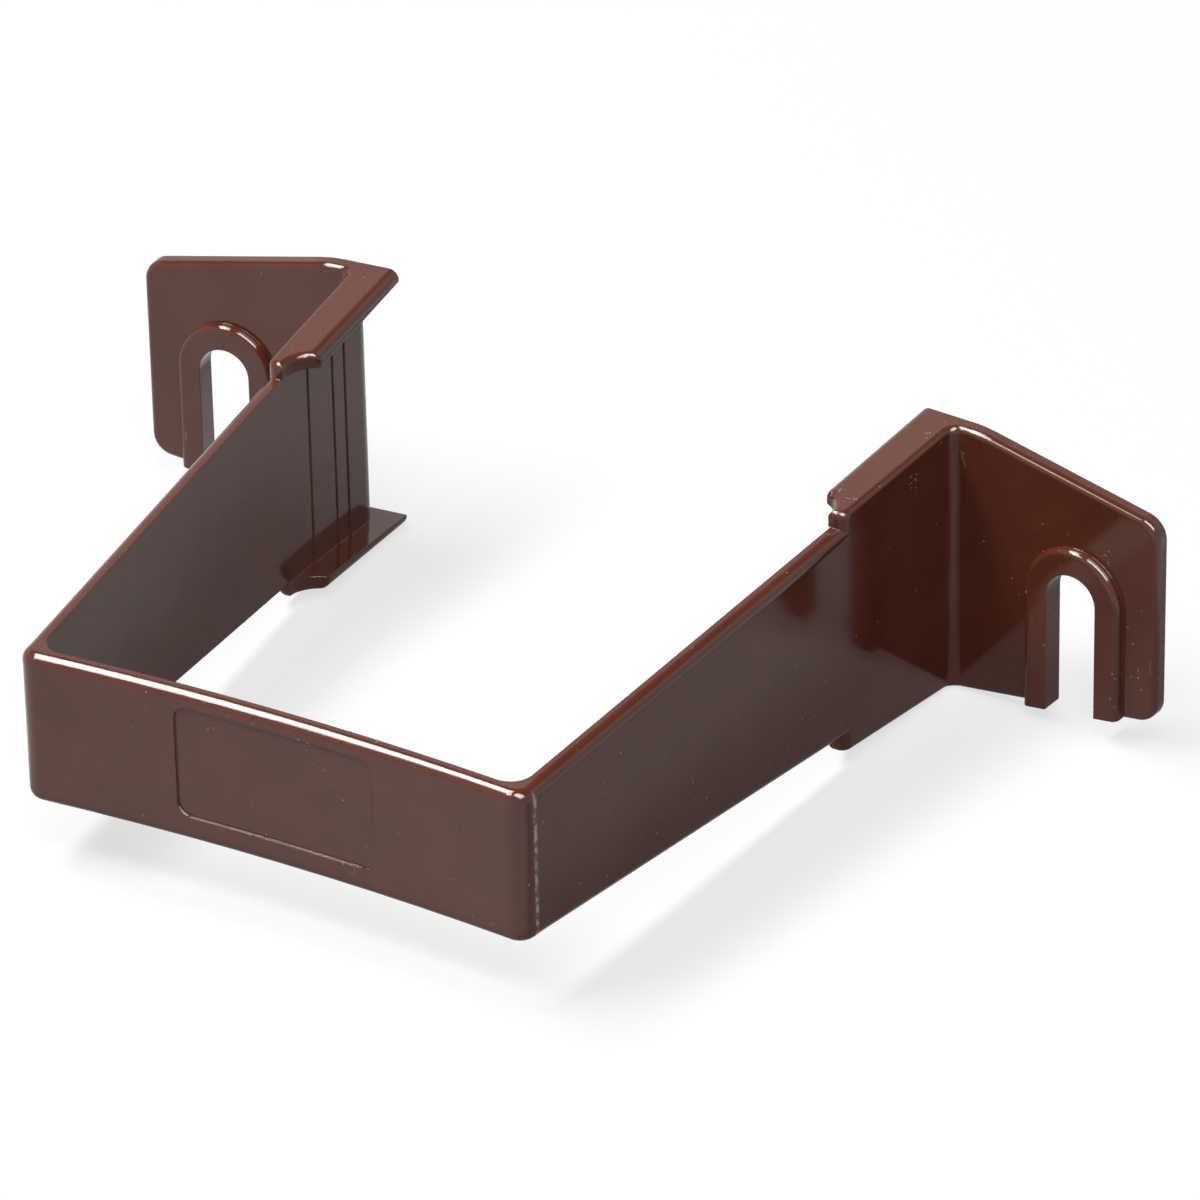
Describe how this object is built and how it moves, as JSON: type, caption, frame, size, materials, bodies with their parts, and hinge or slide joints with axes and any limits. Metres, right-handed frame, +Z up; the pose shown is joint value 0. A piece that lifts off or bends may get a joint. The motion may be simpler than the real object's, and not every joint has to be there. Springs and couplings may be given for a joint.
{
  "type": "downpipe bracket",
  "caption": "One-piece moulded bracket that holds a square rainwater downpipe off a wall, with splayed arms and slotted fixing ears.",
  "frame": {"origin": "on the wall plane, midway between the arms, at half the bracket's height; the wall plane touches the rear edges of the flanges", "axes": "+X to the right of someone who faces the wall, +Y into the wall, +Z up along the pipe"},
  "size_m": [0.145, 0.091, 0.0368],
  "materials": {
    "bracket_plastic": "gloss, dark brown, moulded"
  },
  "bodies": {
    "root": {"downpipe_bracket": "bracket_plastic"}
  },
  "joints": []
}
